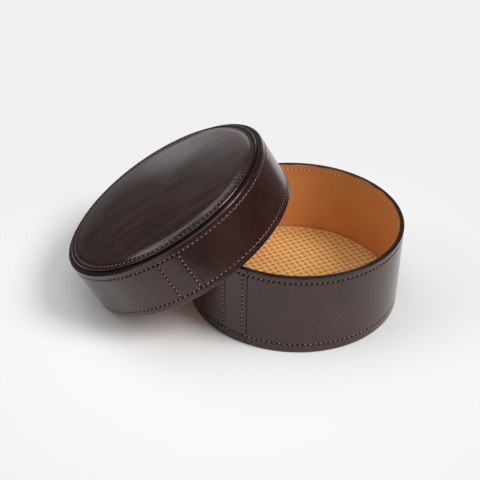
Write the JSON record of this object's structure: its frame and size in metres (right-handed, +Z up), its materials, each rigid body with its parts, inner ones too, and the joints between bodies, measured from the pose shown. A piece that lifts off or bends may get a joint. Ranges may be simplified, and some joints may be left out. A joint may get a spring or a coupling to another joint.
{
  "type": "collar box",
  "caption": "Round lined leather box whose slip lid leans open on the base's rim; the lid lifts off.",
  "frame": {"origin": "centre of the base's flat underside, on the surface that the box stands on", "axes": "+Z up along the base's axis; the lid leans off towards -X; the pictured side faces -Y"},
  "size_m": [0.2666, 0.1794, 0.1294],
  "materials": {
    "base_leather": "polished dark brown bridle leather, inked edges",
    "lid_leather": "polished dark brown bridle leather, inked edges",
    "panel_leather": "padded dark brown bridle leather, brushed sheen",
    "base_lining_leather": "natural tan lining leather, satin",
    "lid_lining_leather": "natural tan lining leather, satin",
    "floor_pad_leather": "natural tan leather with an embossed weave",
    "stiffener_board": "grey board",
    "padding_felt": "wool felt",
    "linen_thread": "waxed linen thread, russet"
  },
  "bodies": {
    "base": {"base_wall": "base_leather", "base_lining": "base_lining_leather", "base_bottom_cap": "base_leather", "base_board": "stiffener_board", "base_floor_pad": "floor_pad_leather", "base_foot_stitching": "linen_thread", "base_rim_stitching": "linen_thread", "base_seam_stitching_left": "linen_thread", "base_seam_stitching_right": "linen_thread"},
    "lid": {"lid_wall": "lid_leather", "lid_lining": "lid_lining_leather", "lid_top_cap": "lid_leather", "lid_board": "stiffener_board", "lid_ceiling_lining": "lid_lining_leather", "lid_padding": "padding_felt", "lid_panel": "panel_leather", "lid_mouth_stitching": "linen_thread", "lid_top_stitching": "linen_thread", "lid_panel_stitching": "linen_thread", "lid_seam_stitching_left": "linen_thread", "lid_seam_stitching_right": "linen_thread"}
  },
  "joints": [
    {"name": "lid_lift", "type": "slide", "parent": "base", "child": "lid", "axis": [0, 0, 1], "range_m": [0, 0.12]}
  ]
}
